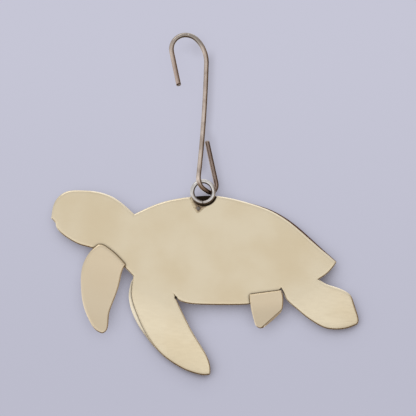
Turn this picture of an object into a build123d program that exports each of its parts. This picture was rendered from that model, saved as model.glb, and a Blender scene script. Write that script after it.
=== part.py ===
from build123d import *
import os
from math import cos, radians, sin

# A sea turtle ornament of layered sheet metal, hung by a bent wire hook.
# Frame: X runs from head to tail, Y from the plain back to the worked front, Z is up.
# The origin is the point inside the hook's crook that bears on whatever it hangs from.
# All lengths are millimetres and all angles degrees. Shares are fractions of the named sizes.

# Sheet stock, with the bevel filed along its rims
body_sheet = 0.8
body_bevel = 0.25
far_sheet = 0.8
far_bevel = 0.25
overlay_sheet = 0.6
overlay_bevel = 0.2
carapace_sheet = 0.6
carapace_bevel = 0.15
broad_share = 0.9
cut_overrun = 30.0

# Shell, the box that the other outlines are placed by
shell_length = 50.6
shell_height = 27.3
shell_back_shares = [(-0.03, 0.804), (0.0, 0.832), (0.128, 0.936), (0.277, 0.991), (0.4, 1.0),
                     (0.523, 0.958), (0.672, 0.867), (0.77, 0.771), (0.869, 0.618), (1.0, 0.393)]
shell_tail_shares = [(1.0, 0.393), (0.983, 0.345), (0.953, 0.286), (0.913, 0.235), (0.889, 0.206)]
shell_seat_shares = [(0.889, 0.206), (0.741, 0.194)]
shell_belly_shares = [(0.741, 0.194), (0.726, 0.148), (0.7, 0.085), (0.65, 0.035), (0.563, 0.005),
                      (0.45, 0.0), (0.326, 0.004), (0.262, 0.016), (0.237, 0.029), (0.217, 0.048),
                      (0.202, 0.08), (0.175, 0.125)]
shell_chest_shares = [(0.175, 0.125), (0.12, 0.2), (0.0, 0.27), (-0.03, 0.804)]

# Head and neck
head_length = 20.75
head_height = 14.4
head_rise_share = 0.524
head_crown_shares = [(1.06, 0.502), (1.0, 0.586), (0.892, 0.73), (0.771, 0.861), (0.651, 0.939),
                     (0.53, 0.981), (0.35, 1.0), (0.169, 0.969), (0.108, 0.913), (0.048, 0.809),
                     (0.012, 0.643), (0.0, 0.513)]
head_mouth_shares = [(0.0, 0.513), (0.03, 0.47), (0.054, 0.426)]
head_jaw_shares = [(0.054, 0.426), (0.061, 0.37), (0.108, 0.27), (0.229, 0.139), (0.349, 0.052),
                   (0.482, 0.0), (0.651, -0.104), (0.807, -0.243), (0.99, -0.492), (1.048, -0.574)]
head_neck_shares = [(1.048, -0.574), (1.19, -0.383), (1.19, 0.452), (1.06, 0.502)]

# Near front flipper, cut in one with the body plate
near_front_length = 19.7
near_front_drop = 24.8
near_front_tilt = 11.0
near_front_place_shares = (-0.012, 0.263)
near_front_lead_shares = [(0.03, 1.06), (0.02, 1.0), (0.002, 0.884), (0.0, 0.824), (0.011, 0.763),
                          (0.069, 0.622), (0.151, 0.471), (0.257, 0.325), (0.38, 0.209), (0.551, 0.108),
                          (0.666, 0.057), (0.806, 0.017), (0.933, 0.0), (0.995, 0.008)]
near_front_trail_shares = [(0.995, 0.008), (1.0, 0.057), (0.975, 0.158), (0.911, 0.259), (0.831, 0.36),
                           (0.755, 0.461), (0.691, 0.561), (0.628, 0.662), (0.577, 0.753), (0.557, 0.8),
                           (0.53, 0.894)]
near_front_root_shares = [(0.53, 0.894), (0.45, 1.06), (0.03, 1.06)]
near_front_fold_shares = [(0.0, 0.93), (0.62, 0.72)]

# Second sheet on the front of that flipper, which shows past its leading edge
overlay_lead_shares = [(0.1, 0.99), (0.008, 0.965), (-0.022, 0.9), (-0.038, 0.825), (-0.034, 0.76),
                       (-0.006, 0.66), (0.046, 0.56), (0.115, 0.462), (0.21, 0.358), (0.28, 0.29),
                       (0.39, 0.214), (0.551, 0.12), (0.666, 0.069), (0.806, 0.029), (0.933, 0.013),
                       (0.98, 0.025)]
overlay_trail_shares = [(0.98, 0.025), (0.983, 0.07), (0.957, 0.165), (0.893, 0.266), (0.813, 0.367),
                        (0.737, 0.468), (0.673, 0.568), (0.61, 0.669), (0.55, 0.77)]
overlay_root_shares = [(0.55, 0.77), (0.48, 0.85), (0.36, 0.92), (0.22, 0.97), (0.1, 0.99)]

# Near rear flipper, also cut in one with the body plate
near_rear_length = 18.2
near_rear_drop = 12.6
near_rear_tilt = 12.0
near_rear_place_shares = (0.751, 0.235)
near_rear_upper_shares = [(0.37, 1.07), (0.451, 1.0), (0.536, 0.921), (0.674, 0.851), (0.825, 0.758),
                          (0.894, 0.673), (0.935, 0.515), (0.977, 0.337), (0.996, 0.24), (1.0, 0.178),
                          (0.988, 0.12), (0.949, 0.083)]
near_rear_lower_shares = [(0.949, 0.083), (0.812, 0.016), (0.7, 0.0), (0.536, 0.03), (0.399, 0.129),
                          (0.261, 0.267), (0.124, 0.436), (0.0, 0.614), (-0.034, 0.71), (-0.069, 0.812),
                          (-0.11, 0.93)]
near_rear_root_shares = [(-0.11, 0.93), (0.1, 1.2), (0.37, 1.07)]
near_rear_fold_shares = [(0.0, 0.56), (0.5, 1.02)]

# Far front flipper, soldered on the back under the neck
far_front_length = 11.2
far_front_drop = 22.2
far_front_tilt = 7.0
far_front_place_shares = (0.361, 0.061)
far_front_shoulder_shares = [(0.391, 1.0), (0.48, 0.995), (0.58, 0.968), (0.781, 0.887), (1.0, 0.771)]
far_front_trail_shares = [(1.0, 0.771), (0.924, 0.702), (0.871, 0.589), (0.792, 0.448), (0.692, 0.319),
                          (0.625, 0.206), (0.609, 0.093), (0.575, 0.035), (0.475, 0.0)]
far_front_lead_shares = [(0.475, 0.0), (0.33, 0.037), (0.179, 0.15), (0.085, 0.262), (0.027, 0.375),
                         (0.0, 0.521), (0.013, 0.713), (0.085, 0.825), (0.234, 0.935), (0.391, 1.0)]
far_front_fold_shares = [(0.0, 0.93), (1.0, 0.73)]

# Far rear flipper, soldered on the back at the belly
far_rear_length = 8.5
far_rear_drop = 9.5
far_rear_tilt = 14.0
far_rear_place_shares = (0.569, 0.137)
far_rear_top_shares = [(0.0, 0.887), (0.933, 1.0)]
far_rear_back_shares = [(0.933, 1.0), (0.985, 0.89), (1.0, 0.72), (0.977, 0.52), (0.903, 0.388)]
far_rear_cut_shares = [(0.903, 0.388), (0.68, 0.196), (0.419, 0.016)]
far_rear_tip_shares = [(0.419, 0.016), (0.317, 0.0), (0.229, 0.034), (0.17, 0.1)]
far_rear_lead_shares = [(0.17, 0.1), (0.067, 0.454), (0.0, 0.887)]
far_rear_fold_shares = [(0.0, 0.66), (1.0, 0.72)]
far_rear_cut_bevel = 0.65

# Carapace on the front of the shell, with its plates raised in rows
carapace_top_shares = [(0.012, 0.832), (0.128, 0.924), (0.277, 0.98), (0.4, 0.99), (0.523, 0.955),
                       (0.672, 0.875), (0.77, 0.781), (0.869, 0.629), (1.0, 0.398)]
carapace_rim_shares = [(1.0, 0.398), (0.92, 0.335), (0.8, 0.27), (0.65, 0.215), (0.5, 0.2),
                       (0.35, 0.225), (0.2, 0.29), (0.08, 0.42), (0.03, 0.57), (0.012, 0.832)]
ridge_shares = [(0.04, 0.795), (0.15, 0.9), (0.3, 0.945), (0.45, 0.93), (0.6, 0.87), (0.75, 0.75),
                (0.84, 0.625), (0.915, 0.5)]
crest_shares = [(0.055, 0.7), (0.16, 0.755), (0.3, 0.785), (0.45, 0.765), (0.6, 0.7), (0.73, 0.605),
                (0.82, 0.52), (0.89, 0.45)]
skirt_shares = [(0.075, 0.6), (0.13, 0.5), (0.22, 0.41), (0.36, 0.34), (0.5, 0.315), (0.64, 0.33),
                (0.76, 0.36), (0.865, 0.395)]
hem_shares = [(0.045, 0.56), (0.095, 0.43), (0.2, 0.32), (0.35, 0.252), (0.5, 0.228), (0.65, 0.243),
              (0.8, 0.297), (0.92, 0.36)]
vertebral_count = 5
marginal_count = 11
vertebral_rise = 0.5
costal_rise = 0.8
marginal_rise = 0.4
scute_groove = 0.5
scute_point = 0.9
scute_draft = 30.0

# Hanging ring, soldered flat against the back at the top edge
ring_diameter = 6.4
ring_wire = 1.1
ring_seam = 0.12
ring_film = 0.1
ring_rise = 1.0
ring_place_share = 0.34
solder_height = 0.3
solder_shares = [(-0.46, -0.12), (-0.46, -0.4), (-0.33, -0.68), (-0.2, -0.82), (-0.07, -0.74),
                 (0.14, -0.56), (0.36, -0.42), (0.48, -0.12)]

# Wire hook, from its tip over the crook and down the shank to the loop
hook_wire = 1.2
hook_lean = 1.6
tip_leg = 8.7
nose_radius = 3.5
nose_turn = 102.0
crown_radius = 4.1
crown_turn = 45.0
shoulder_radius = 8.0
shank_length = 28.1
shank_bow = 4.8
loop_twist = 40.0
heel_radius = 3.3
heel_turn = 68.0
sole_length = 1.8
toe_radius = 1.75
toe_turn = 136.0
return_leg = 11.2
link_clearance = 0.5
ring_from_shank = 1.08
ring_above_toe = 0.19


def placed(shares, corner, size):
    """Points given as shares of a box."""
    return [(corner[0] + size[0] * x, corner[1] + size[1] * z) for x, z in shares]


def run(shares, corner, size):
    """A smooth edge, or a straight one, through points given as shares of a box."""
    points = placed(shares, corner, size)
    return Spline(*points) if len(points) > 2 else Line(*points)


def chain(shares, corner, size):
    """Straight edges through points given as shares of a box."""
    return [run(pair, corner, size) for pair in zip(shares, shares[1:])]


def hung(place_shares, size, carrier_corner, carrier_size):
    """The lower corner of a box whose upper corner lies at shares of its carrier's box."""
    x = carrier_corner[0] + carrier_size[0] * place_shares[0]
    z = carrier_corner[1] + carrier_size[1] * place_shares[1]
    return (x, z - size[1])


def upright(face, depth):
    """A drawn face stood in the XZ plane at a depth along Y, facing the back."""
    return Plane(origin=(0, depth, 0), x_dir=(1, 0, 0), z_dir=(0, -1, 0)) * face


def flat_sheet(face, back, front):
    """A flat sheet cut to a drawn face, between two depths along Y."""
    return extrude(upright(face, front), amount=front - back)


def curled_sheet(face, fold, tilt, back, front):
    """A sheet cut to a drawn face that is flat up to a fold and curls steadily beyond it.

    The fold runs between two points, with the free end to its right hand. A positive tilt leans
    the free end towards the front. Sheets with one fold and one tilt lie on each other.
    """
    start, end = Vector(*fold[0]), Vector(*fold[1])
    along = (end - start).normalized()
    outward = Vector(along.Y, -along.X)
    middle = (start + end) / 2
    reach = max((Vector(v.X, v.Y) - middle).dot(outward) for v in face.vertices())
    side = 1 if tilt > 0 else -1
    radius = reach / radians(abs(tilt))
    sweep_angle = radians(abs(tilt)) + cut_overrun / radius

    def on_curl(depth, angle):
        arm = radius - side * depth
        return (arm * sin(angle), side * (radius - arm * cos(angle)))

    far = 2 * cut_overrun
    back_arc = ThreePointArc(*[on_curl(back, sweep_angle * share) for share in (0, 0.5, 1)])
    front_arc = ThreePointArc(*[on_curl(front, sweep_angle * share) for share in (0, 0.5, 1)])
    section = make_face([
        Line((-far, back), (0, back)),
        back_arc,
        Line(back_arc @ 1, front_arc @ 1),
        front_arc,
        Line((0, front), (-far, front)),
        Line((-far, front), (-far, back)),
    ])
    x_dir = Vector(outward.X, 0, outward.Y)
    plane = Plane(origin=(middle.X, 0, middle.Y), x_dir=x_dir, z_dir=x_dir.cross(Vector(0, 1, 0)))
    slab = extrude(plane * section, amount=far, both=True)
    return flat_sheet(face, back - cut_overrun, front + cut_overrun) & slab


def eased(sheet, bevel):
    """A sheet with a bevel filed along the rims of its two broad sides."""
    broad = [face for face in sheet.faces() if abs(face.normal_at().Y) > broad_share]
    rims = [edge for edge in sheet.edges() if sum(edge in face.edges() for face in broad) == 1]
    return chamfer(rims, bevel)


def beyond_bevel(sheet, cut, width):
    """The block that a wide bevel takes off the back of a sheet, along a nearly straight cut."""
    middle = cut @ 0.5
    backs = [face for face in sheet.faces() if face.normal_at().Y < -broad_share]
    edges = [edge for face in backs for edge in face.edges()]
    rim = min(edges, key=lambda edge: (Vector(edge.center().X, edge.center().Z) - middle).length)
    along = (rim @ 1 - rim @ 0).normalized()
    outward = along.cross(Vector(0, 1, 0)).normalized()
    if outward.dot(rim.center() - sheet.center()) < 0:
        along, outward = -along, -outward
    facing = outward + along.cross(outward)
    slope = Plane(origin=rim.center() - outward * width, x_dir=along, z_dir=facing)
    return slope * Box(cut_overrun, cut_overrun, cut_overrun, align=(Align.CENTER, Align.CENTER, Align.MIN))


# Boxes of the outlines, in the turtle's own frame: the ring's middle, at the back of the body plate
shell_size = (shell_length, shell_height)
shell_corner = (-ring_place_share * shell_length, -ring_rise - shell_height)
head_size = (head_length, head_height)
head_corner = (shell_corner[0] - head_length, shell_corner[1] + head_rise_share * shell_height)
near_front_size = (near_front_length, near_front_drop)
near_front_corner = hung(near_front_place_shares, near_front_size, shell_corner, shell_size)
near_rear_size = (near_rear_length, near_rear_drop)
near_rear_corner = hung(near_rear_place_shares, near_rear_size, shell_corner, shell_size)
far_front_size = (far_front_length, far_front_drop)
far_front_corner = hung(far_front_place_shares, far_front_size, head_corner, head_size)
far_rear_size = (far_rear_length, far_rear_drop)
far_rear_corner = hung(far_rear_place_shares, far_rear_size, shell_corner, shell_size)


def shell_face():
    """The shell's outline, closed inside the neck and the near flippers."""
    smooth = [shell_back_shares, shell_tail_shares, shell_seat_shares, shell_belly_shares]
    edges = [run(shares, shell_corner, shell_size) for shares in smooth]
    return make_face(edges + chain(shell_chest_shares, shell_corner, shell_size))


def head_face():
    """Head and neck, from the crown over the beak and jaw to inside the shell."""
    smooth = [head_crown_shares, head_mouth_shares, head_jaw_shares]
    edges = [run(shares, head_corner, head_size) for shares in smooth]
    return make_face(edges + chain(head_neck_shares, head_corner, head_size))


def near_front_face():
    """The near front flipper, with its root inside the shell."""
    smooth = [near_front_lead_shares, near_front_trail_shares]
    edges = [run(shares, near_front_corner, near_front_size) for shares in smooth]
    return make_face(edges + chain(near_front_root_shares, near_front_corner, near_front_size))


def near_rear_face():
    """The near rear flipper, with its root inside the shell."""
    smooth = [near_rear_upper_shares, near_rear_lower_shares]
    edges = [run(shares, near_rear_corner, near_rear_size) for shares in smooth]
    return make_face(edges + chain(near_rear_root_shares, near_rear_corner, near_rear_size))


def body_plate():
    """The main sheet: flat shell, head and tail, with both near flippers curled to the front."""
    front_fold = placed(near_front_fold_shares, near_front_corner, near_front_size)
    rear_fold = placed(near_rear_fold_shares, near_rear_corner, near_rear_size)
    areas = [
        flat_sheet(shell_face(), 0, body_sheet),
        flat_sheet(head_face(), 0, body_sheet),
        curled_sheet(near_front_face(), front_fold, near_front_tilt, 0, body_sheet),
        curled_sheet(near_rear_face(), rear_fold, near_rear_tilt, 0, body_sheet),
    ]
    shell, *others = [eased(area, body_bevel) for area in areas]
    return shell + others


def near_front_flipper():
    """The second sheet on the near front flipper, curled with it."""
    smooth = [overlay_lead_shares, overlay_trail_shares, overlay_root_shares]
    face = make_face([run(shares, near_front_corner, near_front_size) for shares in smooth])
    fold = placed(near_front_fold_shares, near_front_corner, near_front_size)
    sheet = curled_sheet(face, fold, near_front_tilt, body_sheet, body_sheet + overlay_sheet)
    return eased(sheet, overlay_bevel)


def far_front_flipper():
    """The far front flipper, curled a little to the back."""
    smooth = [far_front_shoulder_shares, far_front_trail_shares, far_front_lead_shares]
    face = make_face([run(shares, far_front_corner, far_front_size) for shares in smooth])
    fold = placed(far_front_fold_shares, far_front_corner, far_front_size)
    return eased(curled_sheet(face, fold, -far_front_tilt, -far_sheet, 0), far_bevel)


def far_rear_flipper():
    """The far rear flipper, curled to the back, with a wide bevel along its cut edge."""
    smooth = [far_rear_top_shares, far_rear_back_shares, far_rear_cut_shares, far_rear_tip_shares,
              far_rear_lead_shares]
    face = make_face([run(shares, far_rear_corner, far_rear_size) for shares in smooth])
    fold = placed(far_rear_fold_shares, far_rear_corner, far_rear_size)
    sheet = curled_sheet(face, fold, -far_rear_tilt, -far_sheet, 0)
    cut = run(far_rear_cut_shares, far_rear_corner, far_rear_size)
    return eased(sheet, far_bevel) - beyond_bevel(sheet, cut, far_rear_cut_bevel)


def scute(upper, lower, rise):
    """One raised plate of the carapace, drafted, between a row of points above and one below."""
    outline = Polyline(*upper, *reversed(lower), close=True)
    pad = offset(make_face(outline), amount=-scute_groove / 2, kind=Kind.INTERSECTION)
    front = body_sheet + carapace_sheet
    stood = upright(pad, front)
    return extrude(stood, amount=-rise, taper=scute_draft)


def carapace():
    """The sheet on the front of the shell, with rows of plates raised in it."""
    smooth = [carapace_top_shares, carapace_rim_shares]
    face = make_face([run(shares, shell_corner, shell_size) for shares in smooth])
    sheet = eased(flat_sheet(face, body_sheet, body_sheet + carapace_sheet), carapace_bevel)
    ridge, crest, skirt, hem = [run(shares, shell_corner, shell_size)
                                for shares in (ridge_shares, crest_shares, skirt_shares, hem_shares)]

    def zigzag(step):
        """A point of the crest, out beside each plate's middle and in between; it fades to the tail."""
        along = step / (2 * vertebral_count)
        shift = scute_point * (1 - along)
        return crest @ along - Vector(0, shift if step % 2 else -shift)

    pads = []
    for row in range(vertebral_count):
        steps = [2 * row, 2 * row + 1, 2 * row + 2]
        upper = [ridge @ (step / (2 * vertebral_count)) for step in steps]
        pads.append(scute(upper, [zigzag(step) for step in steps], vertebral_rise))
    seams = [0] + list(range(3, 2 * vertebral_count - 1, 2)) + [2 * vertebral_count]
    for first, last in zip(seams, seams[1:]):
        steps = list(range(first, last + 1))
        lower = [skirt @ (step / (2 * vertebral_count)) for step in steps]
        pads.append(scute([zigzag(step) for step in steps], lower, costal_rise))
    for row in range(marginal_count):
        ends = [row / marginal_count, (row + 1) / marginal_count]
        pads.append(scute([skirt @ end for end in ends], [hem @ end for end in ends], marginal_rise))
    return sheet + pads


def ring_round():
    """The full round of the ring, with its wire just off the body plate."""
    middle = -ring_film - ring_wire / 2
    return Pos(0, middle, 0) * Rot(90, 0, 0) * Torus((ring_diameter - ring_wire) / 2, ring_wire / 2)


def hanging_ring():
    """The ring, with its butt seam at the foot."""
    slit = Box(ring_seam, cut_overrun, ring_diameter / 2, align=(Align.CENTER, Align.CENTER, Align.MAX))
    return ring_round() - slit


def ring_solder():
    """The patch of solder under the ring's foot, drawn out below it."""
    points = [(ring_diameter * x, ring_diameter * z) for x, z in solder_shares]
    patch = make_face([Spline(*points), Line(points[-1], points[0])])
    pad = flat_sheet(patch & shell_face(), -solder_height, 0)
    return pad - ring_round()


def arc_along(start, heading, radius, turn, place):
    """An arc that leaves a point along a heading; gives the edge, its end and its new heading."""
    side = 1 if turn > 0 else -1

    def at(share):
        bearing = radians(heading + turn * share)
        swing = Vector(sin(bearing) - sin(radians(heading)), cos(radians(heading)) - cos(bearing))
        return start + swing * (side * radius)

    return ThreePointArc(place(at(0)), place(at(0.5)), place(at(1))), at(1), heading + turn


def line_along(start, heading, length, place):
    """A straight run that leaves a point along a heading; gives the edge and its end."""
    end = start + Vector(cos(radians(heading)), sin(radians(heading))) * length
    return Line(place(start), place(end)), end


def hook_path():
    """The centre line of the wire from the tip to the end of the return leg, and its lowest loop."""
    def in_crook(point):
        return Vector(point.X, 0, point.Y)

    top = Vector(0, hook_wire / 2)
    nose, nose_end, nose_heading = arc_along(top, 180, nose_radius, nose_turn, in_crook)
    tip, _ = line_along(nose_end, nose_heading, tip_leg, in_crook)
    crown, crown_end, heading = arc_along(top, 0, crown_radius, -crown_turn, in_crook)
    rest_of_turn = 90 + hook_lean - crown_turn
    shoulder, bent, heading = arc_along(crown_end, heading, shoulder_radius, -rest_of_turn, in_crook)
    bow_radius = shank_length / radians(shank_bow)
    shank, shank_end, heading = arc_along(bent, heading, bow_radius, -shank_bow, in_crook)

    down = Vector(cos(radians(heading)), 0, sin(radians(heading)))
    aside = Vector(-down.Z, 0, down.X) * cos(radians(loop_twist)) + Vector(0, sin(radians(loop_twist)), 0)

    def in_loop(point):
        return in_crook(shank_end) + aside * point.X - down * point.Y

    heel, heel_end, bearing = arc_along(Vector(0, 0), -90, heel_radius, heel_turn, in_loop)
    sole, sole_end = line_along(heel_end, bearing, sole_length, in_loop)
    toe, toe_end, bearing = arc_along(sole_end, bearing, toe_radius, toe_turn, in_loop)
    back, _ = line_along(toe_end, bearing, return_leg, in_loop)
    return Wire([tip, nose, crown, shoulder, shank, heel, sole, toe, back]), in_crook(shank_end), toe


def hook():
    """The bent wire."""
    path, _, _ = hook_path()
    start = Plane(origin=path @ 0, z_dir=path % 0)
    return sweep(start * Circle(hook_wire / 2), path=path)


def turtle_place():
    """Where the ring hangs on the loop: its middle, at the back of the body plate."""
    _, shank_end, toe = hook_path()
    depth = hook_wire / 2 + link_clearance + ring_wire + ring_film
    toe_low = toe.bounding_box().min.Z
    return Pos(shank_end.X + ring_from_shank, depth, toe_low + ring_above_toe)


os.makedirs("parts", exist_ok=True)
on_ring = turtle_place()
pieces = {
    "body_plate": on_ring * body_plate(),
    "carapace": on_ring * carapace(),
    "near_front_flipper": on_ring * near_front_flipper(),
    "far_front_flipper": on_ring * far_front_flipper(),
    "far_rear_flipper": on_ring * far_rear_flipper(),
    "hanging_ring": on_ring * hanging_ring(),
    "ring_solder": on_ring * ring_solder(),
    "hook": hook(),
}
for name, piece in pieces.items():
    export_step(piece, f"parts/{name}.step")
    box = piece.bounding_box()
    print(name, len(piece.solids()), round(piece.volume, 2), box.min, box.max)
print("ring middle", on_ring.position)
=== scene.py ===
"""A sheet-metal sea turtle ornament on its wire hook: worked meshes, finishes, lights and camera."""
import math

import bmesh
import bpy
from mathutils import Matrix, Vector, kdtree, noise


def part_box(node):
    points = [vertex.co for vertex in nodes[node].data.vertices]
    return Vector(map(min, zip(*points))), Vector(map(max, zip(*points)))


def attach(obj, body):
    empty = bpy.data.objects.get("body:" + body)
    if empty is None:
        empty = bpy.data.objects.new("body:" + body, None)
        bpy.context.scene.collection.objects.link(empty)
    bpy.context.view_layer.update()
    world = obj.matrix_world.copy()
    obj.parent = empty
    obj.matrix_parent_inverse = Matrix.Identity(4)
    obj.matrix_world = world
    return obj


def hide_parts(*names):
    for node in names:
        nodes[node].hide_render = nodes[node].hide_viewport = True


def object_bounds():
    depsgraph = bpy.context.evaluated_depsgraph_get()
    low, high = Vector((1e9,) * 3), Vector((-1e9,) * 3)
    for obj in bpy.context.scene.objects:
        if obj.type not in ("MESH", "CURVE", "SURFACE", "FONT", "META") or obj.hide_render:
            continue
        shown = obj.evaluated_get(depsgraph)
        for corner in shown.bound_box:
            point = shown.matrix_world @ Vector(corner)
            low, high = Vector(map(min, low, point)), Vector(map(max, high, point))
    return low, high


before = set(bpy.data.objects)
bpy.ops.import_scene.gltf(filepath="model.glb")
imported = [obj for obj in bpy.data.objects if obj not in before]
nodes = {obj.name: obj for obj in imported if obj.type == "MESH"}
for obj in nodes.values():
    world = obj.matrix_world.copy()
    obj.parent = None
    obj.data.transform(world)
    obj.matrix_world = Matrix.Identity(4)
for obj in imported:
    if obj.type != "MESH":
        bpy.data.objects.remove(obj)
cad_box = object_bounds()

MM = 0.001
half = 0.5


def colour(red, green, blue):
    """A colour given in display values from 0 to 255, as the linear values that nodes take."""
    def linear(value):
        share = value / 255
        return share / 12.92 if share <= 0.04045 else ((share + 0.055) / 1.055) ** 2.4
    return (linear(red), linear(green), linear(blue), 1)


def within(box, x_share, z_share):
    """A place on the back, as shares of a node's box."""
    low, high = box
    return low.x + (high.x - low.x) * x_share, low.z + (high.z - low.z) * z_share


# What each solid moves with and is made of
slot_of = {
    "body_plate": "brass_sheet", "near_front_flipper": "brass_sheet", "far_front_flipper": "brass_sheet",
    "far_rear_flipper": "brass_sheet", "carapace": "copper_sheet", "hanging_ring": "silver_wire",
    "ring_solder": "solder", "hook": "nickel_wire",
}
body_of = {node: "hook" if node == "hook" else "turtle" for node in slot_of}

# Places and sizes that are taken from the solids
body_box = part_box("body_plate")
flap_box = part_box("far_rear_flipper")
ring_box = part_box("hanging_ring")
solder_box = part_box("ring_solder")
ring_x, ring_z = within(ring_box, half, half)
ring_outside = (ring_box[1].x - ring_box[0].x) / 2
ring_wire = ring_box[1].y - ring_box[0].y
ring_bore = ring_outside - ring_wire

# View: the width of the picture at the back of the body plate, and what lies in its middle
view_width = 104.0 * MM
view_middle_x = 5.625 * MM
view_middle_z = -42.55 * MM
camera_distance = 1.0
camera_reach = 10.0
sensor_width = 36.0

# Sheet work: how split vertices are joined, and which faces count as flat, broad or cut. Then the bands
# (width, rise) that crown a broad side towards its rims, and how far the filed rims are rounded
weld_gap = 0.02 * MM
flap_gap = 0.17 * MM
flat_angle = math.radians(0.4)
flat_share = 0.999
broad_share = 0.93
chamfer_share = 0.87
wall_share = 0.5
rung_share = 0.87
rim_angle = math.radians(25)
crown_bands = [(0.25 * MM, 0.03 * MM), (0.4 * MM, 0.015 * MM)]
rim_steps = 5
round_profile = 0.5
even_weight = 80
body_round = 0.11 * MM
far_round = 0.12 * MM
overlay_round = 0.085 * MM
flap_round = 0.06 * MM

# The sheared edge of the small far flipper: the line where it begins, as shares of that flipper's box,
# which way it faces, how far it is turned back towards the sheet, and the width and depth of the
# painted highlight on it and of the painted shadow line behind it
cut_line_shares = [(0.472, 0.118), (0.932, 0.484)]
cut_heading = Vector((0.52, -0.7, -0.48))
cut_share = 0.97
cut_turn = 0.36
cut_painted_width = 0.13 * MM
cut_shadow_share = 0.75

# The upper right of the shell, filed back so that the copper shows behind it: the chord of that stretch
# of the rim, as shares of the body plate's box, how far outside and inside of the chord a point counts,
# and how much comes off
filed_line_shares = [(0.711, 0.8913), (0.906, 0.6426)]
filed_reach = 1.8 * MM
filed_margin = 0.25 * MM
body_filed = 0.41 * MM
carapace_filed = 0.26 * MM

# Engraved lines on the front of the head, as shares of the body plate's box: an eye, and lines that each
# run between two places with a sag, for the mouth, the nostril and the scales of the cheek
eye_shares = (0.072, 0.885)
eye_radius = 1.0 * MM
eye_sides = 24
eye_rings = [(0.12, -0.14 * MM), (0.3, -0.14 * MM), (0.42, 0.0), (0.62, 0.03 * MM), (0.9, 0.05 * MM)]
head_lines = [((0.03, 0.827), (0.086, 0.806), 0.4 * MM), ((0.021, 0.874), (0.029, 0.88), 0.0),
              ((0.106, 0.94), (0.107, 0.862), 0.8 * MM), ((0.112, 0.842), (0.095, 0.81), -0.3 * MM),
              ((0.126, 0.9), (0.162, 0.905), 0.3 * MM), ((0.17, 0.935), (0.172, 0.852), 0.8 * MM),
              ((0.124, 0.846), (0.162, 0.838), -0.3 * MM)]
line_width = 0.3 * MM
line_depth = 0.14 * MM
line_steps = 16
line_taper = 0.5

# Carapace: its sheet, how far a plate's edge is rubbed down, and the growth rings of a large plate as
# (share of the way from its edge to its middle, rise)
carapace_sheet = 0.6 * MM
plate_round = 0.08 * MM
large_plate = 10.0 * MM ** 2
growth_rings = [(0.07, 0.08 * MM), (0.24, 0.06 * MM), (0.29, -0.03 * MM), (0.35, -0.03 * MM),
                (0.4, 0.05 * MM), (0.58, 0.03 * MM), (0.63, -0.05 * MM), (0.69, -0.05 * MM),
                (0.74, 0.02 * MM), (0.93, 0.04 * MM)]

# Wire work: the tube's fineness, how much the hook's thickness wavers, and how the rings of a wire's
# vertices are found
wire_sides = 24
wire_step = 0.18 * MM
wire_evening = 4
wire_waver = 0.015
wire_waver_length = 1.5 * MM
loop_gap = 0.12 * MM
loop_least = 8

# Hook: the nicks of the pliers, the slanted cut at its tip and the rounded far end
nick_places = [Vector((-0.65, -0.55, 0.3)) * MM, Vector((-0.05, -0.57, 0.35)) * MM,
               Vector((0.5, -0.5, 0.85)) * MM]
nick_length = 0.16 * MM
nick_width = 0.5 * MM
nick_depth = 0.14 * MM
cut_slant = 0.7 * MM
end_length = 0.15 * MM
end_round = 0.12 * MM

# Ring: its foot as a turn from +X, its fineness, how much its thickness wavers, and the seam at the foot
ring_foot = 0.75 * math.tau
ring_seam = 0.05 * MM
ring_steps = 120
ring_waver = 0.04
ring_waver_length = 1.0 * MM
seam_length = 0.2 * MM
seam_round = 0.08 * MM

# Solder: how it is melted down, and its last drop, placed in shares of the solder's box
melt_grain = 0.05 * MM
melt_rounds = 8
melt_flow = 0.5
melt_share = 0.35
drop_shares = (0.31, 0.26)
drop_radius = 0.6 * MM
drop_core_share = 0.6
drop_height_share = 0.45
drop_fineness = 3

# Clouds and grains: how detailed they are, and which of their values make a tone or a gloss. Then how
# finely crevices are felt out
plain_detail = 2.0
fine_detail = 3.0
rich_detail = 4.0
cloud_span = (0.35, 0.7)
grain_span = (0.3, 0.7)
crevice_samples = 8

# The torch's traces about the ring. A brown, mottled fan with a ragged edge lies between two sides, each
# from one place to another as shares of the solder's box. Black oxide with painted shade fills the ring,
# and shows past it a little below and to the right as a painted shadow under the wire
fan_side_shares = [((0.25, 0.05), (0.03, 0.75)), ((0.92, 0.62), (0.3, 0.02))]
fan_edge = (-0.15 * MM, 0.55 * MM)
fan_start = 1.6 * MM
fan_full = 2.6 * MM
fan_share = 0.95
fan_light = colour(142, 122, 100)
fan_dark = colour(112, 94, 78)
mottle_scale = 2400.0
mottle_span = (0.35, 0.65)
rag_scale = 1500.0
rag_width = 0.7 * MM
oxide_rag_share = 0.4
oxide_inside = 0.9 * MM
oxide_outside = 0.1 * MM
oxide_and_shadow_shift = 0.3 * MM
oxide_and_shadow_edge = 0.25 * MM
oxide_and_shade_black = colour(34, 26, 19)

# Brass: the tones of each sheet, its clouds, scratches, and seams darkened by oxide and painted shade,
# and a dark spot at the end of the notch between belly and near front flipper, as shares of the body
# plate's box
near_light = colour(226, 213, 187)
near_dark = colour(219, 203, 173)
overlay_light = colour(241, 230, 207)
overlay_dark = colour(236, 223, 198)
far_light = colour(224, 208, 181)
far_dark = colour(221, 204, 176)
flap_light = colour(220, 204, 177)
flap_dark = colour(217, 199, 171)
# Painted highlight on the small far flipper's sheared edge, and its painted shadow line
cut_painted_highlight = colour(240, 226, 200)
cut_painted_shadow = colour(112, 90, 66)
brass_cloud_scale = 70.0
brass_scratch_scale = (500.0, 500.0, 3600.0)
brass_grain = {"gloss": (0.33, 0.39), "depth": 0.002 * MM, "strength": 0.15}
brass_seam_reach = 0.9 * MM
brass_seam_span = (0.5, 0.95)
brass_seam_oxide_and_shade = colour(66, 48, 34)
notch_shares = (0.405, 0.4205)
notch_end_span = (0.15 * MM, 0.6 * MM)
notch_end_share = 0.9
notch_end_dark = colour(52, 38, 28)

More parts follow.
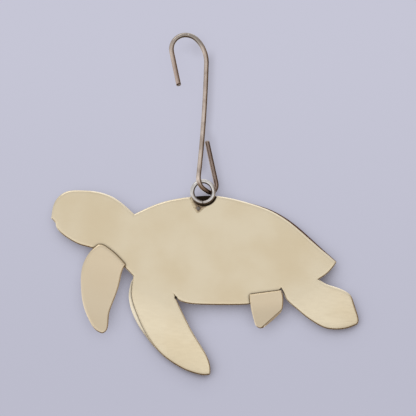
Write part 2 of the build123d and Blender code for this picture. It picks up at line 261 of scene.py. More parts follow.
# Painted light on the brass: the flippers painted lighter from a height down to the lowest tip, and a
# painted highlight on the rims that face up and to the right
painted_light_top = -64.0 * MM
painted_light_share = 0.27
flipper_painted_light = colour(240, 229, 200)
rim_highlight_span = (0.04, 0.1)
rim_painted_highlight = colour(248, 235, 209)

# Copper: its clouds and scratches, its cut edges darkened by oxide and painted shade, and its dark
# grooves
copper_light = colour(206, 142, 108)
copper_dark = colour(178, 110, 80)
copper_cloud_scale = 160.0
copper_scratch_scale = 1800.0
copper_grain = {"gloss": (0.3, 0.42), "depth": 0.006 * MM, "strength": 0.3}
copper_wall_span = (0.1, 0.6)
copper_wall_share = 0.92
copper_wall_oxide_and_shade = colour(84, 62, 50)
copper_seam_reach = 0.9 * MM
copper_seam_span = (0.35, 0.95)
copper_seam_dark = colour(62, 38, 28)

# Silver: its clouds, painted shade in the bore, on the lower outer flank and about the foot, and seams of
# oxide and painted shade
silver_light = colour(216, 213, 211)
silver_dark = colour(196, 191, 188)
silver_cloud_scale = 500.0
silver_grain = {"gloss": (0.16, 0.26), "depth": 0.006 * MM, "strength": 0.2}
bore_span = (0.1 * MM, 0.42 * MM)
bore_share = 0.9
bore_painted_shade = colour(66, 48, 38)
under_span = (0.5 * MM, 2.5 * MM)
flank_span = (0.6 * MM, 0.2 * MM)
flank_share = 0.75
flank_painted_shade = colour(112, 98, 88)
foot_span = (0.4 * MM, 2.2 * MM)
foot_share = 0.4
foot_painted_shade = colour(120, 104, 90)
silver_seam_reach = 0.6 * MM
silver_seam_span = (0.3, 0.9)
silver_seam_oxide_and_shade = colour(40, 30, 24)

# Solder: its grain, and the bare metal of the drop
solder_light = colour(216, 200, 170)
solder_dark = colour(198, 180, 150)
solder_scale = 2200.0
solder_grain = {"gloss": (0.32, 0.46), "depth": 0.02 * MM, "strength": 0.4}
drop_share = 0.9
drop_grey = colour(124, 118, 114)

# Nickel: stretches, clouds and drawn lines, and the tones of the hook's crown and its tip leg. Then
# painted shade on its return leg, on the left and right flanks of its wire and in its seams
nickel_light = colour(212, 197, 186)
nickel_dark = colour(194, 179, 168)
stretch_scale = 110.0
stretch_span = (0.4, 0.6)
nickel_cloud_scale = 350.0
nickel_cloud_span = (0.45, 0.7)
nickel_cloud_share = 0.7
nickel_cloud_dark = colour(164, 148, 138)
crown_place = (0.8 * MM, 0.0)
crown_span = (2.5 * MM, 5.5 * MM)
crown_share = 0.75
crown_grey = colour(140, 134, 127)
tip_place = (-1.9 * MM, -11.8 * MM)
tip_span = (4.0 * MM, 9.0 * MM)
tip_share = 0.7
tip_brown = colour(166, 146, 136)
return_side_span = (4.6 * MM, 5.3 * MM)
return_top_span = (-25.5 * MM, -25.0 * MM)
return_share = 0.8
return_leg_painted_shade = colour(134, 114, 104)
left_span = (-0.95, -0.6)
left_share = 0.5
left_flank_painted_shade = colour(126, 112, 104)
right_span = (0.3, 0.8)
right_share = 0.55
right_side_span = (1.0 * MM, 3.0 * MM)
right_flank_painted_shade = colour(112, 94, 82)
drawn_scale = (5200.0, 5200.0, 260.0)
drawn_span = (0.52, 0.72)
drawn_share = 0.5
drawn_brown = colour(132, 114, 102)
nickel_grain = {"gloss": (0.2, 0.32), "depth": 0.01 * MM, "strength": 0.4}
nickel_seam_reach = 0.3 * MM
nickel_seam_span = (0.4, 0.9)
nickel_seam_painted_shade = colour(60, 46, 36)

# Studio light: what the eye sees below and above the horizon. Then what the metal sees, as levels along
# each axis from 0 to 1: those of the side end towards the top, those of the depth towards the upper left,
# and dim light is warm
white = (1, 1, 1, 1)
sky_low = colour(188, 188, 204)
sky_high = colour(198, 198, 214)
horizon_span = (-0.055, 0.055)
height_levels = [(0.0, 0.12), (0.13, 0.22), (0.28, 0.74), (0.4, 0.94), (0.5, 0.63),
                 (0.56, 0.58), (0.64, 0.58), (0.74, 0.48), (0.85, 0.56), (0.97, 0.7)]
side_levels = [(0.0, 1.0), (0.5, 1.0), (0.65, 1.0), (0.85, 0.5), (1.0, 0.3)]
depth_levels = [(0.0, 1.0), (0.48, 1.0), (0.6, 0.35), (0.82, 0.3), (0.92, 1.0), (1.0, 1.0)]
above_span = (0.2, 0.6)
upper_left_span = (-0.1, 0.5)
glow_strength = 1.4
warm_span = (0.15, 0.7)
warm_tone = colour(255, 216, 176)

# Lamps
lamp_target = (0.0, 0.0, -0.05)
key_place = (-0.25, -0.3, 0.5)
key_size = 0.5
key_power = 0.7
fill_place = (0.2, 0.4, 0.35)
fill_size = 0.7
fill_power = 0.5

# Floor
floor_drop = 75.0 * MM
floor_radius = 0.7
floor_sides = 96
floor_scale = 40.0
floor_roughness = 0.8
floor_light = colour(196, 196, 212)
floor_dark = colour(190, 190, 206)

# The clear pane behind the ornament: its place, how the ornament's soft shade gathers on it, and how near
# the turned ornament behind it keeps it clear
pane_gap = 0.25 * MM
pane_margin = 12.0 * MM
shade_samples = 16
shade_reach = 6.5 * MM
shade_span = (0.3, 0.99)
shade_heading = (-0.35, -0.7, 0.62)
shade_tint = colour(125, 117, 113)
turned_reach = 40.0 * MM
turned_span = (0.82, 0.98)

# The hook's own shade on the pane: the right side of the shank and of the return leg, each from its foot
# up, how far the shade reaches and how deep it is, and a spot inside the crook
shank_side = [(4.1 * MM, -31.8 * MM), (5.4 * MM, -18.0 * MM), (5.9 * MM, -6.0 * MM)]
shank_shade = 0.28
return_leg_side = [(8.0 * MM, -35.5 * MM), (6.4 * MM, -26.0 * MM)]
return_leg_shade = 0.15
wire_shade_reach = 2.3 * MM
wire_shade_rise = 1.1 * MM
wire_shade_fade = 4.0 * MM
crook_shade = 0.14
crook_shade_place = (3.0 * MM, -2.2 * MM)
crook_shade_reach = 3.6 * MM


class Shade:
    """A small writer of shader nodes, whose inputs take sockets and plain values alike."""

    # The sockets of a colour mix: its share and its two colours, and its result
    mix_inputs = (0, 6, 7)
    mix_output = 2

    def __init__(self, tree):
        self.tree = tree
        tree.nodes.clear()

    def node(self, kind, inputs=None, **settings):
        made = self.tree.nodes.new(kind)
        for name, value in settings.items():
            setattr(made, name, value)
        for name, value in (inputs or {}).items():
            self.feed(made.inputs[name], value)
        return made

    def feed(self, socket, value):
        if isinstance(value, bpy.types.NodeSocket):
            self.tree.links.new(value, socket)
        else:
            socket.default_value = value

    def place(self):
        """Where on the piece a point lies, in metres of the shared frame."""
        return self.node("ShaderNodeTexCoord").outputs["Object"]

    def axes(self, vector):
        return self.node("ShaderNodeSeparateXYZ", {"Vector": vector}).outputs

    def facing(self):
        """Which way the piece's own surface faces, axis by axis."""
        return self.axes(self.node("ShaderNodeTexCoord").outputs["Normal"])

    def math(self, operation, *values):
        made = self.node("ShaderNodeMath", operation=operation)
        for socket, value in zip(made.inputs, values):
            self.feed(socket, value)
        return made.outputs[0]

    def both(self, *values):
        """The product of several masks."""
        first, *others = values
        for other in others:
            first = self.math("MULTIPLY", first, other)
        return first

    def unit(self, value):
        """A value from -1 to 1 as one from 0 to 1."""
        return self.math("MULTIPLY_ADD", value, half, half)

    def scaled(self, where, factors):
        made = self.node("ShaderNodeVectorMath", {0: where, 1: factors}, operation="MULTIPLY")
        return made.outputs["Vector"]

    def away(self, where, x, z):
        """How far a point lies from a place on the back, along the sheet."""
        inputs = {0: self.scaled(where, (1, 0, 1)), 1: (x, 0, z)}
        return self.node("ShaderNodeVectorMath", inputs, operation="DISTANCE").outputs["Value"]

    def beside(self, where, first, last):
        """How far a point lies to the right of the way from one place on the back to another."""
        along = (Vector(last) - Vector(first)).normalized()
        across = Vector((along.y, 0, -along.x))
        reach = self.node("ShaderNodeVectorMath", {0: where, 1: across}, operation="DOT_PRODUCT")
        return self.math("SUBTRACT", reach.outputs["Value"], first[0] * across.x + first[1] * across.z)

    def ramp(self, value, low, high, to_low=0.0, to_high=1.0):
        """A smooth step of a value from one range to another."""
        inputs = {"Value": value, "From Min": low, "From Max": high, "To Min": to_low, "To Max": to_high}
        return self.node("ShaderNodeMapRange", inputs, interpolation_type="SMOOTHSTEP").outputs[0]

    def profile(self, value, stops):
        """A grey level looked up along stops of (place from 0 to 1, level)."""
        made = self.node("ShaderNodeValToRGB", {"Fac": value})
        elements = made.color_ramp.elements
        while len(elements) < len(stops):
            elements.new(half)
        for element, (place, level) in zip(elements, stops):
            element.position = place
            element.color = (level, level, level, 1)
        return made.outputs[0]

    def mix(self, share, first, second):
        made = self.node("ShaderNodeMix", data_type="RGBA")
        for index, value in zip(self.mix_inputs, (share, first, second)):
            self.feed(made.inputs[index], value)
        return made.outputs[self.mix_output]

    def noise(self, where, scale, detail=plain_detail):
        inputs = {"Vector": where, "Scale": scale, "Detail": detail}
        return self.node("ShaderNodeTexNoise", inputs).outputs[0]

    def openness(self, reach, samples, **inputs):
        """How free of other things the space about a point is, within a reach."""
        inputs = {"Distance": reach, **inputs}
        return self.node("ShaderNodeAmbientOcclusion", inputs, samples=samples).outputs["AO"]

    def crevice(self, reach, low, high):
        """A mask that is full where other metal stands close by."""
        return self.ramp(self.openness(reach, crevice_samples), low, high, 1, 0)

    def output(self, shader):
        self.node("ShaderNodeOutputMaterial", {"Surface": shader.outputs[0]})

    def metal(self, tone, grain, gloss, depth, strength):
        """Metal of one tone, whose fine grain shows in its gloss and in its surface."""
        roughness = self.ramp(grain, *grain_span, *gloss)
        bump = self.node("ShaderNodeBump", {"Height": grain, "Distance": depth, "Strength": strength})
        inputs = {"Base Color": tone, "Metallic": 1.0, "Roughness": roughness, "Normal": bump.outputs[0]}
        self.output(self.node("ShaderNodeBsdfPrincipled", inputs))


def material(name):
    made = bpy.data.materials.new(name)
    made.use_nodes = True
    return made, Shade(made.node_tree)


def torch_stain_and_shade(shade, where, tone):
    """The torch's brown fan below the ring, and black oxide and painted shade in and under the wire."""
    rag = shade.noise(where, rag_scale, fine_detail)
    ragged = shade.math("MULTIPLY_ADD", rag, rag_width, -rag_width / 2)
    left, right = [shade.beside(where, within(solder_box, *first), within(solder_box, *last))
                   for first, last in fan_side_shares]
    fan = shade.math("ADD", shade.math("MINIMUM", left, right), ragged)
    below = shade.ramp(shade.axes(where)["Z"], ring_z - fan_full, ring_z - fan_start, 1, 0)
    stain = shade.both(shade.ramp(fan, *fan_edge, 0, fan_share), below)
    mottle = shade.ramp(shade.noise(where, mottle_scale), *mottle_span)
    tone = shade.mix(stain, tone, shade.mix(mottle, fan_light, fan_dark))
    # Oxide and painted shade, black: inside the ring, and a crescent below and right of it under the wire
    uneven = shade.math("MULTIPLY", ragged, oxide_rag_share)
    from_ring = shade.math("ADD", shade.away(where, ring_x, ring_z), uneven)
    inner = shade.ramp(from_ring, ring_outside - oxide_inside, ring_outside + oxide_outside, 1, 0)
    from_shifted = shade.away(where, ring_x + oxide_and_shadow_shift, ring_z - oxide_and_shadow_shift)
    outer = shade.ramp(from_shifted, ring_outside, ring_outside + oxide_and_shadow_edge, 1, 0)
    return shade.mix(shade.math("MAXIMUM", inner, outer), tone, oxide_and_shade_black)


def painted_cut_edge(shade, where, tone):
    """The small far flipper's sheared edge: a painted highlight, behind a painted shadow line."""
    first, last = [within(flap_box, *shares) for shares in cut_line_shares]
    beyond = shade.beside(where, first, last)
    tone = shade.mix(shade.ramp(beyond, 0, cut_painted_width), tone, cut_painted_highlight)
    line = shade.both(shade.ramp(beyond, -cut_painted_width, 0), shade.ramp(beyond, cut_painted_width / 2, cut_painted_width, 1, 0))
    return shade.mix(shade.both(line, cut_shadow_share), tone, cut_painted_shadow)


def painted_brass_light(shade, where, tone):
    """Painted light: lighter lower flippers, and a painted highlight on rims that face up and right."""
    # Painted light: the flippers painted lighter towards their lowest tip
    lower_painted_light = shade.ramp(shade.axes(where)["Z"], body_box[0].z, painted_light_top, painted_light_share, 0)
    tone = shade.mix(lower_painted_light, tone, flipper_painted_light)
    # A painted highlight on the rims that face up and to the right
    facing = shade.facing()
    rubbed = shade.both(shade.ramp(facing["X"], *rim_highlight_span), shade.ramp(facing["Z"], *rim_highlight_span))
    return shade.mix(rubbed, tone, rim_painted_highlight)


def brass_finish(name, light, dark, painted_light=None):
    """Tumbled sheet brass in two tones, fine scratches, a dark notch end, and seams of oxide and painted
    shade.
    """
    made, shade = material(name)
    where = shade.place()
    cloud = shade.noise(where, brass_cloud_scale, fine_detail)
    scratch = shade.noise(shade.scaled(where, brass_scratch_scale), 1, fine_detail)
    tone = shade.mix(shade.ramp(cloud, *cloud_span), light, dark)
    tone = torch_stain_and_shade(shade, where, tone)
    # Painted light and shade, where given
    if painted_light:
        tone = painted_light(shade, where, tone)
    # A dark spot at the notch's end
    notch = shade.away(where, *within(body_box, *notch_shares))
    tone = shade.mix(shade.ramp(notch, *notch_end_span, notch_end_share, 0), tone, notch_end_dark)
    # Oxide and painted shade in the seams, where other metal stands close
    tone = shade.mix(shade.crevice(brass_seam_reach, *brass_seam_span), tone, brass_seam_oxide_and_shade)
    shade.metal(tone, scratch, **brass_grain)
    return made


def copper_finish():
    """Copper rubbed bright on its plates, dark in grooves, with oxide and painted shade on cut edges."""
    made, shade = material("copper_rubbed")
    where = shade.place()
    cloud = shade.noise(where, copper_cloud_scale, rich_detail)
    scratch = shade.noise(where, copper_scratch_scale, fine_detail)
    tone = shade.mix(shade.ramp(cloud, *cloud_span), copper_light, copper_dark)
    # Oxide and painted shade on the cut edges, which face sideways
    wall = shade.ramp(shade.facing()["Y"], *copper_wall_span, copper_wall_share, 0)
    tone = shade.mix(wall, tone, copper_wall_oxide_and_shade)
    tone = shade.mix(shade.crevice(copper_seam_reach, *copper_seam_span), tone, copper_seam_dark)
    shade.metal(tone, scratch, **copper_grain)
    return made


def silver_finish():
    """The ring's wire: satin, with painted shade in its bore, on its lower flank and about its foot."""
    made, shade = material("silver_painted_shade")
    where = shade.place()
    cloud = shade.noise(where, silver_cloud_scale, fine_detail)
    tone = shade.mix(shade.ramp(cloud, *cloud_span), silver_light, silver_dark)
    from_middle = shade.away(where, ring_x, ring_z)
    # Painted shade on the inside of the ring
    bore_low, bore_high = [ring_bore + reach for reach in bore_span]
    tone = shade.mix(shade.ramp(from_middle, bore_low, bore_high, bore_share, 0), tone, bore_painted_shade)
    # Painted shade on the lower outer flank
    below = shade.beside(where, (ring_x, ring_z), (ring_x + ring_wire, ring_z))
    flank_low, flank_high = [ring_outside - reach for reach in flank_span]
    flank = shade.ramp(from_middle, flank_low, flank_high, 0, flank_share)
    tone = shade.mix(shade.both(shade.ramp(below, *under_span), flank), tone, flank_painted_shade)
    # Painted shade about the foot
    foot = shade.away(where, ring_x, ring_z - ring_outside)
    tone = shade.mix(shade.ramp(foot, *foot_span, foot_share, 0), tone, foot_painted_shade)
    # Oxide and painted shade in the seams, where other metal stands close
    tone = shade.mix(shade.crevice(silver_seam_reach, *silver_seam_span), tone, silver_seam_oxide_and_shade)
    shade.metal(tone, cloud, **silver_grain)
    return made


def solder_finish():
    """Solder run out thin under the stain, bare and grey only in its last drop."""
    made, shade = material("solder_run")
    where = shade.place()
    grain = shade.noise(where, solder_scale, fine_detail)
    tone = shade.mix(shade.ramp(grain, *cloud_span), solder_light, solder_dark)
    tone = torch_stain_and_shade(shade, where, tone)
    from_drop = shade.away(where, *within(solder_box, *drop_shares))
    drop = shade.ramp(from_drop, drop_core_share * drop_radius, drop_radius, drop_share, 0)
    tone = shade.mix(drop, tone, drop_grey)
    shade.metal(tone, grain, **solder_grain)
    return made


def nickel_finish():
    """Drawn wire with lines along it, browner tones, and painted shade on its return leg and flanks."""
    made, shade = material("nickel_drawn")
    where = shade.place()
    spot = shade.axes(where)
    facing = shade.facing()
    stretch = shade.noise(where, stretch_scale)
    tone = shade.mix(shade.ramp(stretch, *stretch_span), nickel_light, nickel_dark)
    cloud = shade.noise(where, nickel_cloud_scale, fine_detail)
    clouded = shade.ramp(cloud, *nickel_cloud_span, 0, nickel_cloud_share)
    tone = shade.mix(clouded, tone, nickel_cloud_dark)
    crown = shade.ramp(shade.away(where, *crown_place), *crown_span, crown_share, 0)
    tone = shade.mix(crown, tone, crown_grey)
    tip = shade.ramp(shade.away(where, *tip_place), *tip_span, tip_share, 0)
    tone = shade.mix(tip, tone, tip_brown)
    # Painted shade on the return leg
    return_leg = shade.both(shade.ramp(spot["X"], *return_side_span),
                            shade.ramp(spot["Z"], *return_top_span, return_share, 0))
    tone = shade.mix(return_leg, tone, return_leg_painted_shade)
    # Painted shade on the left flank of the wire, and on its right flank in a band to the right
    tone = shade.mix(shade.ramp(facing["X"], *left_span, left_share, 0), tone, left_flank_painted_shade)
    right = shade.both(shade.ramp(facing["X"], *right_span, 0, right_share),
                       shade.ramp(spot["X"], *right_side_span))
    tone = shade.mix(right, tone, right_flank_painted_shade)
    drawn = shade.noise(shade.scaled(where, drawn_scale), 1)
    tone = shade.mix(shade.ramp(drawn, *drawn_span, 0, drawn_share), tone, drawn_brown)
    # Painted shade where other metal stands close
    tone = shade.mix(shade.crevice(nickel_seam_reach, *nickel_seam_span), tone, nickel_seam_painted_shade)
    shade.metal(tone, drawn, **nickel_grain)
    return made


def welded(node, gap=weld_gap):
    """The mesh of a solid with its split vertices joined and its flats in one face each."""
    form = bmesh.new()
    form.from_mesh(nodes[node].data)
    bmesh.ops.remove_doubles(form, verts=form.verts, dist=gap)
    bmesh.ops.dissolve_limit(form, angle_limit=flat_angle, verts=form.verts, edges=form.edges)
    return form


def piece(name, form, node, finish):
    """A finished mesh that takes a solid's place and moves with that solid's body."""
    mesh = bpy.data.meshes.new(name)
    form.to_mesh(mesh)
    form.free()
    if "custom_normal" in mesh.attributes:
        mesh.attributes.remove(mesh.attributes["custom_normal"])
    mesh.shade_smooth()
    made = bpy.data.objects.new(name, mesh)
    bpy.context.scene.collection.objects.link(made)
    mesh.materials.append(finish)
    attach(made, body_of[node])
    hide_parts(node)
    return made


def ringed(form, outline, middle, rings):
    """Rows of faces from an outline towards a middle, as (share of the way, rise), and a last face."""
    row, corners = outline, [vertex.co.copy() for vertex in outline]
    for share, rise in rings:
        inner = [form.verts.new(corner.lerp(middle, share) + Vector((0, rise, 0))) for corner in corners]
        for step in range(len(row)):
            form.faces.new((row[step - 1], row[step], inner[step], inner[step - 1]))
        row = inner
    form.faces.new(row)


def closed_edges(form, outline):
    """The edges along a closed row of vertices."""
    return [form.edges.get((outline[step - 1], outline[step])) for step in range(len(outline))]


def grooved(form, first, last, sag):
    """An engraved line on the front, sunk to a V and tapered at both ends; gives its outline's edges."""
    along = last - first
    across = Vector((-along.z, 0, along.x)).normalized()

    def row(side, depth):
        places = []
        for step in range(1, line_steps):
            bow = math.sin(math.pi * step / line_steps)
            swell = bow ** line_taper
            aside = sag * bow + side * line_width / 2 * swell
            spot = first + along * step / line_steps + across * aside
            places.append(form.verts.new(spot - Vector((0, depth * swell, 0))))
        return places

    ends = [form.verts.new(first), form.verts.new(last)]
    left, floor, right = row(-1, 0), row(0, line_depth), row(1, 0)
    for wall in (left, right):
        form.faces.new((ends[0], wall[0], floor[0]))
        form.faces.new((ends[1], wall[-1], floor[-1]))
        for step in range(1, len(wall)):
            form.faces.new((wall[step - 1], wall[step], floor[step], floor[step - 1]))
    return closed_edges(form, [ends[0], *left, ends[1], *reversed(right)])


def largest(faces):
    return max(faces, key=lambda face: face.calc_area())


def engraved(form):
    """The front of the body plate, with an eye and the lines of the head worked into it."""
    front = largest(face for face in form.faces if face.normal.y > flat_share)
    height = front.calc_center_median().y

    def on_front(shares):
        x, z = within(body_box, *shares)
        return Vector((x, height, z))

    border = list(front.edges)
    bmesh.ops.delete(form, geom=[front], context="FACES_ONLY")
    eye = on_front(eye_shares)
    turns = [math.tau * step / eye_sides for step in range(eye_sides)]
    spokes = [Vector((math.sin(turn), 0, math.cos(turn))) * eye_radius for turn in turns]
    lid = [form.verts.new(eye + spoke) for spoke in spokes]
    ringed(form, lid, eye, eye_rings)
    border += closed_edges(form, lid)
    for first, last, sag in head_lines:
        border += grooved(form, on_front(first), on_front(last), sag)
    bmesh.ops.triangle_fill(form, edges=border, use_beauty=True, normal=(0, 1, 0))
    bmesh.ops.recalc_face_normals(form, faces=form.faces)


def rims_of(form):
    return [edge for edge in form.edges if edge.calc_face_angle() > rim_angle]


def plain_walls(form):
    """Clear the cut edges of a sheet, so that their faces run from rim to rim like a ladder's rungs."""
    rims = set(rims_of(form))
    on_rim = {vertex for edge in rims for vertex in edge.verts}

    def along_wall(faces, share):
        return all(abs(face.normal.y) < share for face in faces)

    def slants(edge):
        return abs((edge.verts[1].co - edge.verts[0].co).normalized().y) < rung_share

    stray = [vertex for vertex in form.verts
             if vertex not in on_rim and along_wall(vertex.link_faces, chamfer_share)]
    bmesh.ops.dissolve_verts(form, verts=stray)
    slanted = [edge for edge in form.edges
               if edge not in rims and along_wall(edge.link_faces, wall_share) and slants(edge)]
    bmesh.ops.dissolve_edges(form, edges=slanted, use_verts=False)


def filed_back(form, depth=body_filed):
    """Take a little off the upper right of the shell, most in the middle of that stretch."""
    first, last = [Vector(within(body_box, *shares)) for shares in filed_line_shares]
    along = (last - first).normalized()
    for vertex in form.verts:
        apart = Vector((vertex.co.x, vertex.co.z)) - first
        share = apart.dot(along) / (last - first).length
        aside = apart.x * along.y - apart.y * along.x
        if 0 < share < 1 and -filed_reach < aside < filed_margin:
            taken = depth * math.sin(math.pi * share)
            vertex.co += Vector((along.y, 0, -along.x)) * taken


def turned_cut(form):
    """Turn the small far flipper's sheared edge back towards the sheet, so that it catches light."""
    cut = largest(face for face in form.faces if face.normal.dot(cut_heading) > cut_share)
    first, last = [Vector(within(flap_box, *shares)) for shares in cut_line_shares]
    along = (last - first).normalized()
    for vertex in cut.verts:
        beyond = (vertex.co.x - first.x) * along.y - (vertex.co.z - first.y) * along.x
        vertex.co.y -= cut_turn * max(0, beyond)


def sheet(name, node, width, finish, facing=-1, gap=weld_gap, bands=crown_bands, cut=None, worked=None):
    """A sheet whose rims are rounded over, with its back, or its front, crowned towards them."""
    form = welded(node, gap)
    plain_walls(form)
    if cut:
        cut(form)
    rims = [edge for edge in rims_of(form) if edge.is_convex]
    broad = [face for face in form.faces if face.normal.y * facing > broad_share]
    for band, rise in bands:
        bmesh.ops.inset_region(form, faces=broad, thickness=band, depth=rise, use_even_offset=True,
                               use_boundary=True)
    bmesh.ops.bevel(form, geom=rims, offset=width, offset_type="OFFSET", segments=rim_steps,
                    profile=round_profile, affect="EDGES", clamp_overlap=False)
    if worked:
        worked(form)
    made = piece(name, form, node, finish)
    made.data.set_sharp_from_angle(angle=rim_angle)
    even = made.modifiers.new("even", "WEIGHTED_NORMAL")
    even.weight = even_weight
    even.keep_sharp = True


def scuted(name, node, finish):
    """The carapace, its raised plates rubbed down along their edges and marked with growth rings."""
    form = welded(node)
    filed_back(form, carapace_filed)
    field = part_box(node)[0].y + carapace_sheet + plate_round
    tops = [face for face in form.faces
            if face.normal.y > flat_share and face.calc_center_median().y > field]
    for top in tops:
        outline, middle = [loop.vert for loop in top.loops], top.calc_center_median_weighted()
        rings = growth_rings if top.calc_area() > large_plate else growth_rings[:1]
        form.faces.remove(top)
        for vertex in outline:
            vertex.co.y -= plate_round
        ringed(form, outline, middle, rings)
    made = piece(name, form, node, finish)
    made.data.set_sharp_from_angle(angle=rim_angle)


def centre_line(node, radius):
    """The middles of a bent wire's rings of vertices, in order from its upper end."""
    mesh = nodes[node].data
    corners = zip(mesh.loops, mesh.corner_normals)
    normals = {loop.vertex_index: corner.vector.copy() for loop, corner in corners}
    inner = [vertex.co - normals[vertex.index] * radius for vertex in mesh.vertices]
    tree = kdtree.KDTree(len(inner))
    for index, point in enumerate(inner):
        tree.insert(point, index)
    tree.balance()
    middles, ring_of = [], {}
    for index, point in enumerate(inner):
        close = tree.find_range(point, loop_gap)
        if index not in ring_of and len(close) >= loop_least:
            for _, other, _ in close:
                ring_of.setdefault(other, len(middles))
            middles.append(sum((found for found, _, _ in close), Vector()) / len(close))
    links = {ring: set() for ring in range(len(middles))}
    for edge in mesh.edges:
        first, last = [ring_of.get(index) for index in edge.vertices]
        if first is not None and last is not None and first != last:
            links[first].add(last)
            links[last].add(first)
    here = max((ring for ring in links if len(links[ring]) == 1), key=lambda ring: middles[ring].z)
    order = [here]
    while ahead := [ring for ring in links[here] if ring not in order]:
        here = min(ahead, key=lambda ring: (middles[ring] - middles[order[-1]]).length)
        order.append(here)
    return [middles[ring] for ring in order]


def evened(line, step, rounds):
    """A line in short equal steps, with the corners between its chords smoothed out."""
    spaced = [line[0]]
    for first, last in zip(line, line[1:]):
        count = max(1, round((last - first).length / step))
        spaced += [first.lerp(last, (share + 1) / count) for share in range(count)]
    for _ in range(rounds):
        inner = [(a + b * 2 + c) / 4 for a, b, c in zip(spaced, spaced[1:], spaced[2:])]
        spaced = [spaced[0], *inner, spaced[-1]]
    return spaced


def tube(line, shaped):
    """A closed tube along a line; shaped(share, point, along, out) gives each vertex about a point."""
    form = bmesh.new()
    neighbours = zip([line[0]] + line, line[1:] + [line[-1]])
    headings = [(after - before).normalized() for before, after in neighbours]
    side = headings[0].orthogonal()
    rows = []
    for index, (point, along) in enumerate(zip(line, headings)):
        side = (side - along * side.dot(along)).normalized()
        over = along.cross(side)
        row = []
        for step in range(wire_sides):
            turn = math.tau * step / wire_sides
            out = side * math.cos(turn) + over * math.sin(turn)
            row.append(form.verts.new(shaped(index / (len(line) - 1), point, along, out)))
        rows.append(row)
    for row, following in zip(rows, rows[1:]):
        for step in range(wire_sides):
            on = (step + 1) % wire_sides
            form.faces.new((row[step], row[on], following[on], following[step]))
    form.faces.new(rows[0])
    form.faces.new(rows[-1])
    bmesh.ops.recalc_face_normals(form, faces=form.faces)
    return form


def hook_wire(name, node, finish):
    """The hook: drawn wire with plier nicks over its crown and cut ends.

    The frame's origin lies inside the crook's top, so the wire is as thick as the hook is high above it.
    """
    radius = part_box(node)[1].z / 2
    line = evened(centre_line(node, radius), wire_step, wire_evening)
    length = wire_step * len(line)

    def shaped(share, point, along, out):
        to_tip = share * length
        to_end = (1 - share) * length
        wavering = 1 + wire_waver * noise.noise(point / wire_waver_length)
        spot = point + out * radius * wavering
        spot += along * max(0, cut_slant * (1 - out.y) / 2 - to_tip)
        if to_end < end_length:
            spot -= out * end_round * (1 - to_end / end_length) ** 2
        for nick in nick_places:
            apart = spot - nick
            lengthways = apart.dot(along)
            across = (apart - along * lengthways).length
            dent = 1 - (lengthways / nick_length) ** 2 - (across / nick_width) ** 2
            spot -= out * nick_depth * max(0, dent)
        return spot

    piece(name, tube(line, shaped), node, finish)


def ring_round(name, node, finish):
    """The ring: bent wire whose two ends meet in a seam at the foot."""
    middle = (ring_box[0] + ring_box[1]) / 2
    arm = ring_outside - ring_wire / 2
    seam = ring_seam / 2 / arm
    start, whole = ring_foot + seam, math.tau - 2 * seam
    turns = [start + whole * step / ring_steps for step in range(ring_steps + 1)]
    line = [middle + Vector((math.cos(turn), 0, math.sin(turn))) * arm for turn in turns]

    def shaped(share, point, along, out):
        to_seam = min(share, 1 - share) * math.tau * arm
        radius = ring_wire / 2 * (1 + ring_waver * noise.noise(point / ring_waver_length))
        if to_seam < seam_length:
            radius -= seam_round * (1 - to_seam / seam_length) ** 2
        return point + out * radius

    piece(name, tube(line, shaped), node, finish)


def solder_run(name, node, finish):
    """The solder: the same patch, melted into a soft and flatter run, with a last drop."""
    form = welded(node)
    seat = solder_box[1].y
    for vertex in form.verts:
        vertex.co.y = seat + (vertex.co.y - seat) * melt_share
    drop_x, drop_z = within(solder_box, *drop_shares)
    drop = Matrix.LocRotScale((drop_x, seat, drop_z), None, (1, drop_height_share, 1))
    bmesh.ops.create_icosphere(form, subdivisions=drop_fineness, radius=drop_radius, matrix=drop)
    made = piece(name, form, node, finish)
    melt = made.modifiers.new("melt", "REMESH")
    melt.mode = "VOXEL"
    melt.voxel_size = melt_grain
    flow = made.modifiers.new("flow", "SMOOTH")
    flow.factor = melt_flow
    flow.iterations = melt_rounds


def studio_world():
    """Pale lavender to the eye; to the metal a studio, bright above and low in front, darker right."""
    world = bpy.data.worlds.new("studio")
    bpy.context.scene.world = world
    world.use_nodes = True
    shade = Shade(world.node_tree)
    axes = shade.axes(shade.node("ShaderNodeTexCoord").outputs["Generated"])
    seen = shade.mix(shade.ramp(axes["Z"], *horizon_span), sky_low, sky_high)
    level = shade.profile(shade.unit(axes["Z"]), height_levels)
    side = shade.profile(shade.unit(axes["X"]), side_levels)
    side = shade.mix(shade.ramp(axes["Z"], *above_span), side, white)
    depth = shade.profile(shade.unit(axes["Y"]), depth_levels)
    upper_left = shade.ramp(shade.math("SUBTRACT", axes["Z"], axes["X"]), *upper_left_span)
    glow = shade.both(level, side, shade.mix(upper_left, depth, white), glow_strength)
    warmth = shade.mix(shade.ramp(glow, *warm_span), warm_tone, white)
    light = shade.node("ShaderNodeBackground", {"Color": warmth, "Strength": glow})
    shown = shade.node("ShaderNodeBackground", {"Color": seen, "Strength": 1.0})
    is_camera = shade.node("ShaderNodeLightPath").outputs["Is Camera Ray"]
    mixed = shade.node("ShaderNodeMixShader", {0: is_camera, 1: light.outputs[0], 2: shown.outputs[0]})
    shade.node("ShaderNodeOutputWorld", {"Surface": mixed.outputs[0]})


def soft_lamp(name, place, size, power):
    lamp = bpy.data.lights.new(name, "AREA")
    lamp.shape = "DISK"
    lamp.size = size
    lamp.energy = power
    holder = bpy.data.objects.new(name, lamp)
    holder.location = place
    heading = Vector(lamp_target) - Vector(place)
    holder.rotation_euler = heading.to_track_quat("-Z", "Y").to_euler()
    bpy.context.scene.collection.objects.link(holder)


def staged(name, form, finish):
    """A piece of the stage, which belongs to no body."""
    mesh = bpy.data.meshes.new(name)
    form.to_mesh(mesh)
    form.free()
    mesh.materials.append(finish)
    made = bpy.data.objects.new(name, mesh)
    bpy.context.scene.collection.objects.link(made)
    return made


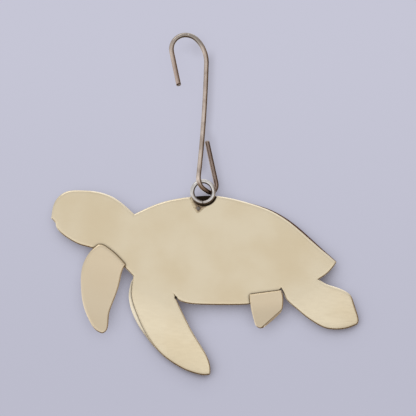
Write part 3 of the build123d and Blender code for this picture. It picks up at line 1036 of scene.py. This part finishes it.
def studio_floor():
    """A round pale floor well below the ornament."""
    made, shade = material("floor_pale")
    tone = shade.mix(shade.noise(shade.place(), floor_scale), floor_light, floor_dark)
    inputs = {"Base Color": tone, "Roughness": floor_roughness}
    shade.output(shade.node("ShaderNodeBsdfPrincipled", inputs))
    form = bmesh.new()
    bmesh.ops.create_circle(form, cap_ends=True, segments=floor_sides, radius=floor_radius)
    floor = staged("floor", form, made)
    floor.location = (view_middle_x, 0, cad_box[0].z - floor_drop)
    floor.visible_glossy = False


def beside_wire(shade, where, side, depth):
    """The soft shade to the right of a stretch of the hook's wire, given from its foot up."""
    height = shade.axes(where)["Z"]
    foot, top = side[0][1], side[-1][1]
    gaps = [shade.beside(where, first, last) for first, last in zip(side, side[1:])]
    gap = shade.math("MAXIMUM", gaps[0], gaps[-1])
    return shade.both(shade.ramp(gap, 0, wire_shade_reach, depth, 0),
                      shade.ramp(gap, -wire_shade_rise, 0),
                      shade.ramp(height, foot - wire_shade_fade, foot),
                      shade.ramp(height, top, top + wire_shade_fade, 1, 0))


def shade_finish():
    """Clear, but for the soft shade of what is near, and none where the ornament stands behind it."""
    made, shade = material("shade_clear")
    where = shade.place()
    near = shade.openness(shade_reach, shade_samples)
    backwards = shade.node("ShaderNodeCombineXYZ", {"Y": 1.0}).outputs[0]
    behind = shade.openness(turned_reach, shade_samples, Normal=backwards)
    dark = shade.both(shade.ramp(near, *shade_span, 1, 0), shade.ramp(behind, *turned_span))
    shank = beside_wire(shade, where, shank_side, shank_shade)
    return_leg = beside_wire(shade, where, return_leg_side, return_leg_shade)
    crook = shade.ramp(shade.away(where, *crook_shade_place), 0, crook_shade_reach, crook_shade, 0)
    for wire in (shank, return_leg, crook):
        dark = shade.math("ADD", dark, wire)
    tint = shade.mix(dark, white, shade_tint)
    shade.output(shade.node("ShaderNodeBsdfTransparent", {"Color": tint}))
    return made


def soft_shade():
    """A clear pane behind the ornament that takes on its soft shade, as a table under it would."""
    low, high = cad_box
    left, foot = low.x - pane_margin, low.z - pane_margin
    right, top = high.x + pane_margin, high.z + pane_margin
    corners = [(left, foot), (right, foot), (right, top), (left, top)]
    form = bmesh.new()
    form.faces.new([form.verts.new((x, high.y + pane_gap, z)) for x, z in corners])
    pane = staged("shade_pane", form, shade_finish())
    pane.data.shade_smooth()
    pane.data.normals_split_custom_set_from_vertices([Vector(shade_heading).normalized()] * len(corners))
    pane.visible_diffuse = pane.visible_glossy = pane.visible_transmission = pane.visible_shadow = False


def studio_camera():
    camera = bpy.data.cameras.new("camera")
    camera.sensor_width = sensor_width
    camera.lens = sensor_width * camera_distance / view_width
    camera.clip_end = camera_reach
    holder = bpy.data.objects.new("camera", camera)
    holder.location = (view_middle_x, body_box[0].y - camera_distance, view_middle_z)
    holder.rotation_euler = (math.pi / 2, 0, 0)
    bpy.context.scene.collection.objects.link(holder)
    bpy.context.scene.camera = holder


near_brass = brass_finish("brass_satin", near_light, near_dark, painted_light=painted_brass_light)
overlay_brass = brass_finish("brass_pale", overlay_light, overlay_dark)
far_brass = brass_finish("brass_warm", far_light, far_dark)
flap_brass = brass_finish("brass_cut", flap_light, flap_dark, painted_light=painted_cut_edge)
sheet("body_sheet", "body_plate", body_round, near_brass, cut=filed_back, worked=engraved)
sheet("near_front_sheet", "near_front_flipper", overlay_round, overlay_brass, facing=1)
sheet("far_front_sheet", "far_front_flipper", far_round, far_brass)
sheet("far_rear_sheet", "far_rear_flipper", flap_round, flap_brass, gap=flap_gap, bands=(),
      cut=turned_cut)
scuted("scuted_carapace", "carapace", copper_finish())
ring_round("ring_wire", "hanging_ring", silver_finish())
solder_run("solder_run", "ring_solder", solder_finish())
hook_wire("hook_wire", "hook", nickel_finish())

studio_world()
soft_lamp("key", key_place, key_size, key_power)
soft_lamp("far_fill", fill_place, fill_size, fill_power)
studio_floor()
soft_shade()
studio_camera()

bpy.context.scene.view_settings.view_transform = "Standard"
